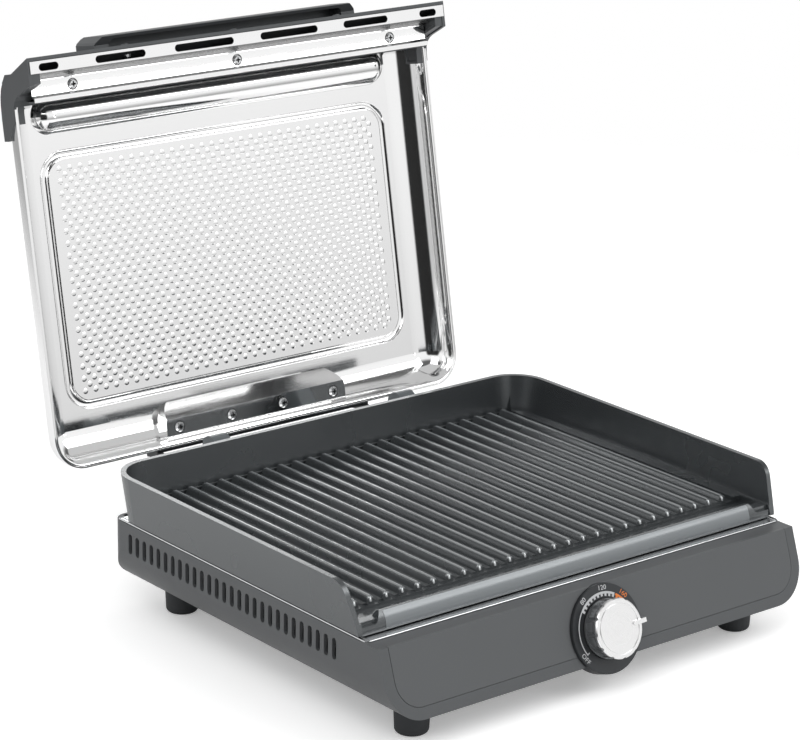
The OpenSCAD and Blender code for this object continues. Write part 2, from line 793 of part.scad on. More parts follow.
// Side view of the trim: slanted face, and cheeks that follow the swept plate wall
module cheek_side() {
    yc = front_y + 42.5;
    zc = rim_z - 14;
    polygon([[lid_yf + 46, lid_top - 14], [lid_yf + 41, lid_top - 18.2],
        [lid_yf + 32, rim_z + 0.9], [yc, rim_z + 0.9], [yc - 5.1, zc + 14.1],
        [yc - 9.6, zc + 11.5], [yc - 12.3, zc + 8.6], [yc - 14.1, zc + 5.1],
        [yc - 20.7, skirt_z], [trim_yf, skirt_z],
        [skirt_y(16.1), lid_top - 16.1], [lid_yf + 4.4, lid_top - 13.4],
        [lid_yf + 7.7, lid_top - 11.5], [lid_yf + 13, lid_top - 9.7],
        [lid_yf + 18.7, lid_top - 8.7], [lid_yf + 30, lid_top - 8.1],
        [lid_yf + 46, lid_top - 8.1]]);
}

module lid_trim() {
    color("dimgray") lid_pose() difference() {
        along_x(lid_hw + 1) cheek_side();
        // hollow between the cheeks and behind the face, less three screw bosses
        difference() {
            along_x(lid_hw - 1.8) polygon([[trim_yf + 2.6, skirt_z - 5], [trim_yf + 2.6, skirt_z + 0.4],
                [skirt_y(32) + 2.42, web_z - 3], [lid_yf + 68, web_z - 3],
                [lid_yf + 68, skirt_z - 5]]);
            for (x = trim_screw_x) translate([x, lid_yf + 9, lid_top - 36.5])
                cylinder(h = 12, r = 5);
        }
        for (x = trim_screw_x) translate([x, lid_yf + 9, lid_top - 40])
            cylinder(h = 12, r = 1.6);
        for (x = handle_screw_x) skirt_frame(x) cylinder(h = 20, r = 1.6, center = true);
        translate([-lid_hw + 1.8, trim_yf + 36, skirt_z]) cube([lid_w - 3.6, 80, 80]);
        // seat of the steel lid
        outer_dish(seat_z - 0.01);
    }
}

// Frame on the inner side of the slanted face: Z points into the hollow
module skirt_frame(x) {
    translate([x, skirt_y(38) + 2.42, lid_top - 38]) rotate([-90 - atan(skirt_k), 0, 0])
        children();
}
handle_screw_x = [-100, 0, 100];

// Folded steel strip inside the front of the lid, with slots for the steam
module vent_plate() {
    y = lid_yf;
    z = lid_top;
    color("silver") lid_pose() difference() {
        union() {
            along_x(lid_hw - 0.5) translate([y - 12, z - 53.7]) square([12, 1]);
            along_x(lid_hw - 2) {
                translate([y - 1, z - 53.7]) square([1, 17.2]);
                translate([y - 1, z - 37.5]) square([15, 1]);
                translate([y + 13, z - 40.5]) square([1, 4]);
                translate([y + 13, z - 40.5]) square([6, 1]);
                translate([y + 18, z - 40.5]) square([1, 12.5]);
            }
        }
        for (s = slots) translate([s[0], y - 6, z - 60]) linear_extrude(20) {
            translate([-s[1] / 2 + 2.2, -2.2]) square([s[1] - 4.4, 4.4]);
            for (k = [-1, 1]) translate([k * (s[1] / 2 - 2.2), 0]) circle(2.2);
        }
        for (x = trim_screw_x) translate([x, y + 9, z - 50]) cylinder(h = 20, r = 1.6);
    }
}
slots = [[-lid_hw + 18, 15.6], [-114, 43.5], [-38, 53.4], [42, 54], [117, 43], [lid_hw - 15, 15.6]];
trim_screw_x = [-lid_hw + 45, 0, lid_hw - 45];

module vent_plate_screws() {
    color("silver") lid_pose() for (x = trim_screw_x)
        translate([x, lid_yf + 9, lid_top - 37.5]) rotate([180, 0, 0])
            screw(4, 1.6, 8, 1.4);
}

module lid_handle() {
    color("dimgray") lid_pose() difference() {
        union() {
            intersection() {
                along_x(130) polygon([[skirt_y(42), lid_top - 42],
                    [skirt_y(41.2) - 2.6, lid_top - 41.2], [skirt_y(31) - 2.6, lid_top - 31],
                    [lid_yf - 9, lid_top - 30.4], [lid_yf - 16, lid_top - 30],
                    [lid_yf - 22.1, lid_top - 33.5], [lid_yf - 22.6, lid_top - 31.5],
                    [lid_yf - 22.2, lid_top - 8], [lid_yf - 20.8, lid_top - 5.8],
                    [lid_yf - 18, lid_top - 5], [lid_yf - 6, lid_top - 5],
                    [lid_yf - 3.6, lid_top - 6], [lid_yf - 2, lid_top - 9],
                    [skirt_y(22) - 0.3, lid_top - 18], [skirt_y(22), lid_top - 22]]);
                translate([0, 0, lid_top - 60]) linear_extrude(60) polygon([
                    [-123, lid_yf + 6], [-123, lid_yf - 16.2], [-121.8, lid_yf - 18],
                    [-116, lid_yf - 23], [116, lid_yf - 23], [121.8, lid_yf - 18],
                    [123, lid_yf - 16.2], [123, lid_yf + 6]]);
            }
            // bosses for the screws
            for (x = handle_screw_x) intersection() {
                skirt_frame(x) translate([0, 0, -8.6]) cylinder(h = 8.6, r = 4);
                along_x(130) polygon([[skirt_y(60), lid_top - 60], [skirt_y(20), lid_top - 20],
                    [skirt_y(20) - 20, lid_top - 20], [skirt_y(60) - 20, lid_top - 60]]);
            }
        }
        // hollow for the fingers, shut off from the bosses
        difference() {
            translate([0, 0, lid_top - 45]) linear_extrude(28)
                rounded(110, lid_yf - 19.8, lid_yf - 8.8, 5);
            for (x = handle_screw_x) skirt_frame(x) translate([0, 0, -8.6])
                cylinder(h = 8.6, r = 4);
        }
        for (x = handle_screw_x) skirt_frame(x) cylinder(h = 14.8, r = 1.6, center = true);
    }
}

// Screws from the hollow of the trim into the handle
module handle_screws() {
    color("silver") lid_pose() for (x = handle_screw_x) skirt_frame(x) screw(3.2, 1.6, 7);
}

base_shell();
front_fascia();
fascia_panel();
rear_panel();
bottom_cover();
base_screws();
feet();
heat_liner();
heating_element();
element_clips();
thermostat_body();
terminal_block();
thermal_fuse();
cord_gland();
dial_bezel();
hinge_bracket();
hinge_cross_bar();
hinge_pins();
hinge_screws();
rear_spacers();
knob_shaft();
knob_body();
knob_cap();
knob_pointer();
grill_plate();
plate_locators();
lid_shell();
lid_mesh();
lid_hinge_bracket();
bracket_screws();
lid_trim();
vent_plate();
vent_plate_screws();
lid_handle();
handle_screws();
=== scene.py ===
# %% [markdown]
# # Electric indoor grill with a lid
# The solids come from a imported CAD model, which is loaded first and is never moved.
# Everything below gives those solids their finishes and adds the detail that is too
# fine for the solids: the dimpled sheet, the folds of the steel, the polished ridges
# and the marks of the dial.

# %% Load the frame
import json
import math

import bmesh
import bpy
from mathutils import Matrix, Vector


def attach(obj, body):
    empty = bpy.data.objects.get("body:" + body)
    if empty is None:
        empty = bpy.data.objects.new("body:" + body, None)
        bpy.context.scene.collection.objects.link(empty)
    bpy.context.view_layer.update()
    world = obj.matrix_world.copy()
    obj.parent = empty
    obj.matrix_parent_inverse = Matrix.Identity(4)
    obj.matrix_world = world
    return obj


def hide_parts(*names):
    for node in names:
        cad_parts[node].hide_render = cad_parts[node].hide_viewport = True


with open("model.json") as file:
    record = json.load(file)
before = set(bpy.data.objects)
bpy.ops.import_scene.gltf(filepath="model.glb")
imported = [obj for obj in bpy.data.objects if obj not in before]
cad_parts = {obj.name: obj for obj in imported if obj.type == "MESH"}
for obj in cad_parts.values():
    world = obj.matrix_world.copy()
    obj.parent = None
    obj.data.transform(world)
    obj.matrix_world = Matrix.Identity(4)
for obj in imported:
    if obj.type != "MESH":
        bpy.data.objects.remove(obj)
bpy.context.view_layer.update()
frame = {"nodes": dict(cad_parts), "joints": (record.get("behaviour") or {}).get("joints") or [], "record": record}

MM = 0.001

# %% [markdown]
# ## Where the lid and the dial turn
# The lid swings on two short pins at the back, and the dial turns on a shaft that leans
# back with the fascia. Both places could be typed in again here. They are read from the
# joints of the frame instead, so that a piece drawn for the lid or the dial always fits.

# %% Hinge of the lid and axis of the dial
JOINTS = {joint["name"]: joint for joint in frame["joints"]}
HINGE = Vector(JOINTS["lid_hinge"]["pos_m"]) / MM
SWING = math.radians(JOINTS["lid_hinge"]["range_deg"][1])
DIAL_CENTRE = JOINTS["dial_turn"]["pos_m"]
DIAL_AXIS = JOINTS["dial_turn"]["axis"]
DIAL_LEAN = math.atan2(-DIAL_AXIS[1], DIAL_AXIS[2])
print("lid swings", round(math.degrees(SWING), 1), "degrees; dial leans",
      round(math.degrees(DIAL_LEAN), 1), "degrees from upright")

# %% [markdown]
# ## Small helpers
# A material is a tree of nodes, and writing each node out takes many lines. These
# helpers keep each tree short: one makes the material, one adds a node and links its
# inputs, and two make a group of nodes and place it.

# %% Node helpers
def new_material(name):
    mat = bpy.data.materials.new(name)
    mat.use_nodes = True
    tree = mat.node_tree
    tree.nodes.clear()
    out = tree.nodes.new("ShaderNodeOutputMaterial")
    shader = tree.nodes.new("ShaderNodeBsdfPrincipled")
    tree.links.new(shader.outputs[0], out.inputs[0])
    return mat, tree, shader


def add(tree, kind, inputs=None, **props):
    """Adds a node. An input is linked where its value is a socket, and set otherwise."""
    node = tree.nodes.new(kind)
    for key, value in props.items():
        setattr(node, key, value)
    for key, value in (inputs or {}).items():
        if isinstance(value, bpy.types.NodeSocket):
            tree.links.new(value, node.inputs[key])
        else:
            node.inputs[key].default_value = value
    return node


def rgb(r, g, b):
    return (r, g, b, 1.0)


# %% Groups with named sockets
def new_group(name, kind, inputs, outputs):
    """An empty node group, with its input node and its output node."""
    tree = bpy.data.node_groups.new(name, kind)
    for way, rows in (("INPUT", inputs), ("OUTPUT", outputs)):
        for title, socket in rows:
            tree.interface.new_socket(name=title, in_out=way,
                                      socket_type="NodeSocket" + socket)
    return tree, tree.nodes.new("NodeGroupInput"), tree.nodes.new("NodeGroupOutput")


def place_group(tree, group, values):
    node = tree.nodes.new("ShaderNodeGroup")
    node.node_tree = group
    for key, value in values.items():
        node.inputs[key].default_value = value
    return node


ROUGH_SPAN = (("Rough low", "Float"), ("Rough high", "Float"))
ROUGH_AND_NORMAL = (("Roughness", "Float"), ("Normal", "Vector"))

# %% [markdown]
# ## Shared effects
# Moulded plastic, coated metal, brushed steel and ink all vary a little over their
# surface. The nodes for that could be built again in every material. They are built
# once here, as three groups, and each material only chooses how strong they are.

# %% Group: fine grain of moulded and coated surfaces
CLOUD_SCALE = 14.0
GRAIN_DEPTH = 0.0002


def grain_group():
    tree, given, made = new_group("fine_grain", "ShaderNodeTree",
                                  (("Scale", "Float"), ("Bump", "Float")) + ROUGH_SPAN,
                                  ROUGH_AND_NORMAL)
    coord = add(tree, "ShaderNodeTexCoord")
    fine = add(tree, "ShaderNodeTexNoise", {"Vector": coord.outputs["Object"],
                                            "Scale": given.outputs["Scale"], "Detail": 2.0})
    broad = add(tree, "ShaderNodeTexNoise", {"Vector": coord.outputs["Object"],
                                             "Scale": CLOUD_SCALE, "Detail": 3.0})
    rough = add(tree, "ShaderNodeMapRange", {
        "Value": broad.outputs["Fac"], "From Min": 0.2, "From Max": 0.8,
        "To Min": given.outputs["Rough low"], "To Max": given.outputs["Rough high"]},
        interpolation_type="SMOOTHSTEP")
    bump = add(tree, "ShaderNodeBump", {"Height": fine.outputs["Fac"],
                                        "Strength": given.outputs["Bump"],
                                        "Distance": GRAIN_DEPTH})
    tree.links.new(rough.outputs["Result"], made.inputs["Roughness"])
    tree.links.new(bump.outputs["Normal"], made.inputs["Normal"])
    return tree


GRAIN = grain_group()
print("group", GRAIN.name, "has", len(GRAIN.nodes), "nodes")

# %% Group: brushed metal
BRUSH_DEPTH = 0.0001


def brush_group():
    tree, given, made = new_group("brushed_metal", "ShaderNodeTree",
                                  (("Stretch", "Vector"), ("Bump", "Float")) + ROUGH_SPAN,
                                  ROUGH_AND_NORMAL)
    coord = add(tree, "ShaderNodeTexCoord")
    stretch = add(tree, "ShaderNodeMapping", {"Vector": coord.outputs["Object"],
                                              "Scale": given.outputs["Stretch"]})
    noise = add(tree, "ShaderNodeTexNoise", {"Vector": stretch.outputs["Vector"],
                                             "Scale": 1.0, "Detail": 3.0})
    span = add(tree, "ShaderNodeMapRange", {
        "Value": noise.outputs["Fac"], "From Min": 0.3, "From Max": 0.7,
        "To Min": given.outputs["Rough low"], "To Max": given.outputs["Rough high"]})
    bump = add(tree, "ShaderNodeBump", {"Height": noise.outputs["Fac"],
                                        "Strength": given.outputs["Bump"],
                                        "Distance": BRUSH_DEPTH})
    tree.links.new(span.outputs["Result"], made.inputs["Roughness"])
    tree.links.new(bump.outputs["Normal"], made.inputs["Normal"])
    return tree


BRUSH = brush_group()
print("group", BRUSH.name, "has", len(BRUSH.nodes), "nodes")

# %% Group: mottle of printed ink
def mottle_group():
    tree, given, made = new_group("ink_mottle", "ShaderNodeTree",
                                  (("Scale", "Float"),) + ROUGH_SPAN,
                                  (("Roughness", "Float"),))
    coord = add(tree, "ShaderNodeTexCoord")
    noise = add(tree, "ShaderNodeTexNoise", {"Vector": coord.outputs["Object"],
                                             "Scale": given.outputs["Scale"], "Detail": 2.0})
    span = add(tree, "ShaderNodeMapRange", {
        "Value": noise.outputs["Fac"], "To Min": given.outputs["Rough low"],
        "To Max": given.outputs["Rough high"]})
    tree.links.new(span.outputs["Result"], made.inputs["Roughness"])
    return tree


MOTTLE = mottle_group()
print("group", MOTTLE.name, "has", len(MOTTLE.nodes), "nodes")

# %% [markdown]
# ## Plastics and coatings
# The housing is a dark grey plastic with a fine satin grain. The plate is cast aluminium
# under a black non-stick coat, which is smoother and shows soft blue-grey reflections.
# A flat colour would look like paper, so each of them gets the grain group, and the
# coats get a higher index of refraction than the plastics, as the real layers have.

# %% Plastic and coating materials
COOL_TINT = (0.94, 0.98, 1.0)


def grained(name, colour, rough, scale=900.0, bump=0.12, specular=0.5, ior=1.5):
    mat, tree, shader = new_material(name)
    grain = place_group(tree, GRAIN, {"Scale": scale, "Bump": bump,
                                      "Rough low": rough[0], "Rough high": rough[1]})
    shader.inputs["Base Color"].default_value = rgb(*colour)
    shader.inputs["Specular IOR Level"].default_value = specular
    shader.inputs["Specular Tint"].default_value = rgb(*COOL_TINT)
    shader.inputs["IOR"].default_value = ior
    tree.links.new(grain.outputs["Roughness"], shader.inputs["Roughness"])
    tree.links.new(grain.outputs["Normal"], shader.inputs["Normal"])
    return mat


HOUSING = grained("housing_plastic", (0.070, 0.073, 0.076), (0.36, 0.46))
PANEL = grained("fascia_panel_plastic", (0.078, 0.081, 0.084), (0.34, 0.42), bump=0.08)
# Glossier plastic for the hinge ears, whose lighter grey is a painted reflection.
HINGE_PAINTED_REFLECTION = grained("hinge_painted_reflection_plastic", (0.10, 0.112, 0.118), (0.30, 0.40))
HANDLE = grained("handle_plastic", (0.058, 0.061, 0.064), (0.36, 0.46))
BLACK = grained("black_plastic", (0.018, 0.019, 0.021), (0.3, 0.4), scale=1200.0, bump=0.06)
BEZEL = grained("bezel_plastic", (0.020, 0.021, 0.023), (0.28, 0.36), scale=1200.0, bump=0.05)
KNOB = grained("knob_plastic", (0.075, 0.077, 0.080), (0.14, 0.20), scale=1200.0, bump=0.03,
               specular=0.9, ior=1.7)
RUBBER = grained("foot_rubber", (0.022, 0.023, 0.025), (0.55, 0.7), scale=500.0, bump=0.2)
CERAMIC = grained("ceramic_white", (0.72, 0.69, 0.62), (0.5, 0.6), scale=300.0, bump=0.1)
OXIDE = grained("element_oxide", (0.05, 0.048, 0.046), (0.5, 0.65), scale=700.0, bump=0.2)
# Near-black for the screw crosses and rings: painted shade in the recesses and painted shadow round the heads.
SCREW_PAINTED_SHADE = grained("screw_recess", (0.012, 0.012, 0.012), (0.6, 0.8), bump=0.05, specular=0.2)

# %% Coats of the plate
COAT = grained("nonstick_coat", (0.028, 0.031, 0.033), (0.22, 0.30), scale=1500.0, bump=0.04,
               specular=0.75, ior=1.7)
# Much lighter coat for the rounded wall of the channel: a painted highlight.
BAR_PAINTED_SHEEN = grained("bar_painted_sheen", (0.140, 0.152, 0.160), (0.20, 0.27), scale=1500.0, bump=0.03,
                   specular=0.75, ior=1.7)
# Glossier coat for the ridge caps; its lighter colour is a painted highlight.
RIDGE_GLOSS_AND_PAINTED_HIGHLIGHT = grained("ridge_gloss_painted_highlight", (0.090, 0.098, 0.102), (0.14, 0.22), scale=1500.0,
                     bump=0.02, specular=1.0, ior=2.0)
ridge_shader = RIDGE_GLOSS_AND_PAINTED_HIGHLIGHT.node_tree.nodes["Principled BSDF"]
ridge_shader.inputs["Coat Weight"].default_value = 1.0
ridge_shader.inputs["Coat IOR"].default_value = 1.9
print("plastics and coats", len(bpy.data.materials))

# %% [markdown]
# ## Steel
# The lid is bright stainless steel. A metal has almost no colour of its own, so what it
# shows is the room: long soft lamps and darker walls around the grill give it its bands.
# The brushing runs along the sheet, so the noise is stretched a lot along X and little
# across it.

# %% Metal materials
EVEN = (600.0, 600.0, 600.0)
ALONG_X = (40.0, 900.0, 900.0)


def metal(name, colour, rough, stretch=EVEN, bump=0.02):
    mat, tree, shader = new_material(name)
    brush = place_group(tree, BRUSH, {"Stretch": stretch, "Bump": bump,
                                      "Rough low": rough[0], "Rough high": rough[1]})
    shader.inputs["Base Color"].default_value = rgb(*colour)
    shader.inputs["Metallic"].default_value = 1.0
    tree.links.new(brush.outputs["Roughness"], shader.inputs["Roughness"])
    tree.links.new(brush.outputs["Normal"], shader.inputs["Normal"])
    return mat


LID_STEEL = metal("lid_steel", (0.94, 0.94, 0.94), (0.06, 0.11), ALONG_X, bump=0.015)
# Darker steel for the web of the folded strip: painted shade, standing in for the dark plate that the leaning web
# reflects.
WEB_PAINTED_SHADE_STEEL = metal("web_painted_shade_steel", (0.29, 0.29, 0.29), (0.2, 0.3), ALONG_X, bump=0.015)
TRAY_STEEL = metal("tray_steel", (0.72, 0.73, 0.74), (0.15, 0.25))
ZINC = metal("zinc_plate", (0.66, 0.67, 0.68), (0.22, 0.32))
POLISHED = metal("polished_bar", (0.8, 0.81, 0.82), (0.05, 0.1))

# %% [markdown]
# ## Turned cap of the dial
# The cap is turned on a lathe, which leaves fine rings round its axis. A noise that only
# depends on the distance from the axis gives those rings on every face of the cap,
# where a flat image of rings would only fit its front.

# %% Turned metal
RINGS_PER_METRE = 3000.0


def turned(name, colour, rough):
    mat, tree, shader = new_material(name)
    coord = add(tree, "ShaderNodeTexCoord")
    arm = add(tree, "ShaderNodeVectorMath", {0: coord.outputs["Object"], 1: DIAL_CENTRE},
              operation="SUBTRACT")
    cross = add(tree, "ShaderNodeVectorMath", {0: arm.outputs[0], 1: DIAL_AXIS},
                operation="CROSS_PRODUCT")
    radius = add(tree, "ShaderNodeVectorMath", {0: cross.outputs[0]}, operation="LENGTH")
    rings = add(tree, "ShaderNodeTexNoise", {"W": radius.outputs["Value"],
                                             "Scale": RINGS_PER_METRE, "Detail": 2.0},
                noise_dimensions="1D")
    bump = add(tree, "ShaderNodeBump", {"Height": rings.outputs["Fac"], "Strength": 0.12,
                                        "Distance": BRUSH_DEPTH})
    span = add(tree, "ShaderNodeMapRange", {"Value": rings.outputs["Fac"],
                                            "To Min": rough[0], "To Max": rough[1]})
    shader.inputs["Base Color"].default_value = rgb(*colour)
    shader.inputs["Metallic"].default_value = 1.0
    tree.links.new(span.outputs["Result"], shader.inputs["Roughness"])
    tree.links.new(bump.outputs["Normal"], shader.inputs["Normal"])
    return mat


SPUN = turned("spun_aluminium", (0.86, 0.86, 0.86), (0.24, 0.34))
print("materials", len(bpy.data.materials))

# %% [markdown]
# ## Finish of each solid
# The record of the CAD model names a material slot for each solid. One table turns slots
# into finishes, which is shorter and safer than a line for each of the 35 solids. Three
# solids share a slot with others but get a finish of their own: the handle is darker, the
# knob of the dial glossier, and the hinge ears glossier and lighter, their lighter grey
# being a painted reflection of the pale room.

# %% Put the finishes on
FINISH = {"housing": HOUSING, "panel": PANEL, "feet": RUBBER, "tray_steel": TRAY_STEEL,
          "element": OXIDE, "ceramic": CERAMIC, "zinc": ZINC, "black_plastic": BLACK,
          "bezel": BEZEL, "polished": POLISHED, "spun": SPUN, "nonstick": COAT,
          "lid_steel": LID_STEEL}
for part in frame["record"]["subparts"]:
    solid = frame["nodes"][part["node"]]
    solid.data.materials.clear()
    solid.data.materials.append(FINISH[part["material_slot"]])
# The hinge ears get the lighter grey of a painted reflection; the handle is darker and the knob glossier.
for name, finish in (("lid_handle", HANDLE), ("hinge_bracket", HINGE_PAINTED_REFLECTION), ("knob_body", KNOB)):
    frame["nodes"][name].data.materials[0] = finish

# %% [markdown]
# ## Drawing in millimetres
# The model stands open, so a piece for the lid is drawn on the closed lid, in millimetres,
# and then swung up about the hinge. A piece for the dial is drawn flat and then leaned
# back onto the fascia. The vertices are moved, so every object stays at the origin.

# %% From a drawing to its place
LID_Y = 94.8      # rear edge of the closed lid
LID_TOP = 139.2   # top of the closed lid
SHEET = 1.0       # thickness of the steel sheets
BASE_PLACE = Matrix.Scale(MM, 4)
LID_PLACE = (BASE_PLACE @ Matrix.Translation(HINGE) @ Matrix.Rotation(-SWING, 4, "X")
             @ Matrix.Translation(-HINGE))
DIAL_PLACE = (BASE_PLACE @ Matrix.Translation(Vector(DIAL_CENTRE) / MM)
              @ Matrix.Rotation(DIAL_LEAN, 4, "X"))


def behind(y, down):
    """A point of the lid from its distance to the rear edge and its depth below the top."""
    return (LID_Y - y, LID_TOP - down)


print("rear edge of the open lid", LID_PLACE @ Vector((0, *behind(0.0, 0.0))))

# %% From a drawing to a finished object
def link(name, data):
    obj = bpy.data.objects.new(name, data)
    bpy.context.scene.collection.objects.link(obj)
    return obj


def piece(name, bm, place, body, finish, smooth=40.0):
    """Turns a drawing into a closed object on one body, with its faces outwards."""
    finishes = finish if isinstance(finish, list) else [finish]
    bmesh.ops.recalc_face_normals(bm, faces=bm.faces)
    if bm.calc_volume(signed=True) < 0:
        bmesh.ops.reverse_faces(bm, faces=bm.faces)
    bm.transform(place)
    mesh = bpy.data.meshes.new(name)
    bm.to_mesh(mesh)
    bm.free()
    for item in finishes:
        mesh.materials.append(item)
    mesh.shade_smooth()
    mesh.set_sharp_from_angle(angle=math.radians(smooth))
    obj = link(name, mesh)
    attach(obj, body)
    print(name, len(mesh.polygons), "faces")
    return obj


# %% Outlines and closed forms
def ring(x, y, radius, steps, start=0.0, end=360.0):
    """Points of an arc in degrees, both ends counted."""
    angles = [math.radians(start + (end - start) * k / steps) for k in range(steps + 1)]
    return [(x + radius * math.cos(a), y + radius * math.sin(a)) for a in angles]


def rounded_outline(half, y0, y1, r, steps=12):
    """Points round a rectangle with round corners, anticlockwise."""
    return (ring(half - r, y0 + r, r, steps, 270, 360) + ring(half - r, y1 - r, r, steps, 0, 90)
            + ring(-half + r, y1 - r, r, steps, 90, 180)
            + ring(-half + r, y0 + r, r, steps, 180, 270))


def slab(bm, loops, z0, z1, walls=None):
    """Flat plate between z0 and z1 whose outline and holes are the given loops."""
    for z in (z0, z1):
        edges = []
        for loop in loops:
            verts = [bm.verts.new((x, y, z)) for x, y in loop]
            edges += [bm.edges.new((verts[k - 1], verts[k])) for k in range(len(verts))]
        bmesh.ops.triangle_fill(bm, edges=edges, use_beauty=True)
    for loop in loops if walls is None else walls:
        low = [bm.verts.new((x, y, z0)) for x, y in loop]
        high = [bm.verts.new((x, y, z1)) for x, y in loop]
        band(bm, low, high)
    bmesh.ops.remove_doubles(bm, verts=bm.verts, dist=0.001)


def band(bm, low, high):
    """Closes two rings of vertices with a band of faces."""
    for k in range(len(low)):
        bm.faces.new((low[k - 1], low[k], high[k], high[k - 1]))


# %% [markdown]
# ## Dimpled sheet
# The solid behind the pressed bead is a plain sheet. The real one is embossed with more
# than a thousand round dimples in staggered rows, which stand up on the inside of the
# lid. A bump in the material would look flat at a low angle, so the dimples are real
# faces. One tile is a small rectangle of sheet with one dimple; Geometry Nodes sets it
# out on a grid, every other row half a step aside.

# %% One tile of the sheet
PITCH_X, PITCH_Y, COLUMNS, ROWS = 9.4, 4.72, 32, 37
DIMPLE_SIDES = 10
INSIDE = ((2.32, 0.0), (1.85, -0.17), (1.05, -0.28))   # radius and height of each ring
OUTSIDE = ((2.0, 0.0), (1.1, -0.28))
TINY = 1e-6


def tile_side(bm, rings, z):
    """One face of the tile: a rectangle outside the first ring, then ring after ring."""
    half_x, half_y = PITCH_X / 2, PITCH_Y / 2
    angles = [2 * math.pi * (k + 0.5) / DIMPLE_SIDES for k in range(DIMPLE_SIDES)]
    rim = []
    for a in angles:
        c, s = math.cos(a), math.sin(a)
        reach = min(half_x / max(abs(c), TINY), half_y / max(abs(s), TINY))
        rim.append((reach * c, reach * s))
    outer = [bm.verts.new((x, y, z)) for x, y in rim]
    loops = [[bm.verts.new((r * math.cos(a), r * math.sin(a), z + dz)) for a in angles]
             for r, dz in rings]
    for k in range(DIMPLE_SIDES):
        face = [loops[0][k - 1], outer[k - 1]]
        (ax, ay), (bx, by) = rim[k - 1], rim[k]
        if abs(ax - bx) > TINY and abs(ay - by) > TINY:
            face.append(bm.verts.new((math.copysign(half_x, ax + bx),
                                      math.copysign(half_y, ay + by), z)))
        bm.faces.new(face + [outer[k], loops[0][k]])
    for low, high in zip(loops, loops[1:]):
        band(bm, low, high)
    bm.faces.new(loops[-1])


def tile_mesh():
    bm = bmesh.new()
    tile_side(bm, OUTSIDE, 0.0)
    tile_side(bm, INSIDE, -SHEET)
    mesh = bpy.data.meshes.new("tile")
    bm.to_mesh(mesh)
    bm.free()
    return mesh


tile = link("tile", tile_mesh())
print("tile faces", len(tile.data.polygons))

# %% Geometry Nodes: staggered grid of tiles
def maths(tree, operation, a, b):
    return add(tree, "ShaderNodeMath", {0: a, 1: b}, operation=operation).outputs[0]


def stagger_tree(material):
    tree, given, made = new_group("staggered_tiles", "GeometryNodeTree", (
        ("Geometry", "Geometry"), ("Tile", "Object"), ("Columns", "Int"), ("Rows", "Int"),
        ("Pitch X", "Float"), ("Pitch Y", "Float"), ("Centre Y", "Float"),
        ("Height", "Float")), (("Geometry", "Geometry"),))
    columns, rows = given.outputs["Columns"], given.outputs["Rows"]
    pitch_x, pitch_y = given.outputs["Pitch X"], given.outputs["Pitch Y"]
    grid = add(tree, "GeometryNodeMeshGrid", {
        "Size X": maths(tree, "MULTIPLY", maths(tree, "SUBTRACT", columns, 1.0), pitch_x),
        "Size Y": maths(tree, "MULTIPLY", maths(tree, "SUBTRACT", rows, 1.0), pitch_y),
        "Vertices X": columns, "Vertices Y": rows})
    index = add(tree, "GeometryNodeInputIndex").outputs[0]
    row = maths(tree, "MODULO", index, rows)
    odd = maths(tree, "SUBTRACT", maths(tree, "MODULO", row, 2.0), 0.5)
    aside = maths(tree, "MULTIPLY", maths(tree, "MULTIPLY", odd, 0.5), pitch_x)
    move = add(tree, "ShaderNodeCombineXYZ", {"X": aside, "Y": given.outputs["Centre Y"],
                                              "Z": given.outputs["Height"]})
    place = add(tree, "GeometryNodeSetPosition", {"Geometry": grid.outputs["Mesh"],
                                                  "Offset": move.outputs[0]})
    info = add(tree, "GeometryNodeObjectInfo", {"Object": given.outputs["Tile"],
                                                "As Instance": True})
    onto = add(tree, "GeometryNodeInstanceOnPoints", {
        "Points": place.outputs[0], "Instance": info.outputs["Geometry"]})
    real = add(tree, "GeometryNodeRealizeInstances", {"Geometry": onto.outputs[0]})
    join = tree.nodes.new("GeometryNodeJoinGeometry")
    tree.links.new(real.outputs[0], join.inputs[0])
    tree.links.new(given.outputs["Geometry"], join.inputs[0])
    paint = add(tree, "GeometryNodeSetMaterial", {"Geometry": join.outputs[0],
                                                  "Material": material})
    tree.links.new(paint.outputs[0], made.inputs["Geometry"])
    return tree


# %% Running a tree once
def run_nodes(start, tree, values):
    """Sets the inputs of the tree, evaluates it on a mesh and returns a drawing of it."""
    holder = link("holder", start)
    mod = holder.modifiers.new("nodes", "NODES")
    mod.node_group = tree
    for item in tree.interface.items_tree:
        if item.item_type == "SOCKET" and item.in_out == "INPUT" and item.name in values:
            mod[item.identifier] = values[item.name]
    holder.update_tag()
    graph = bpy.context.evaluated_depsgraph_get()
    mesh = bpy.data.meshes.new_from_object(holder.evaluated_get(graph))
    holder.modifiers.remove(mod)
    bpy.data.objects.remove(holder)
    bm = bmesh.new()
    bm.from_mesh(mesh)
    for face in bm.faces:
        face.material_index = 0
    return bm


# %% [markdown]
# ## Border of the sheet
# The field of tiles is a rectangle with a saw-tooth edge, and the sheet has round
# corners. The border is a flat plate with a rectangular hole, and half a tile closes
# each tooth. Then all of it is welded, so that the sheet is one closed body.

# %% Border with its half tiles
SHEET_Y = LID_Y - 137.8   # middle of the sheet
SHEET_HALF_X, SHEET_HALF_Y, SHEET_CORNER = 157.8, 92.0, 14.8
FIELD_X = PITCH_X * (COLUMNS / 2 + 0.25)
FIELD_Y = PITCH_Y * ROWS / 2


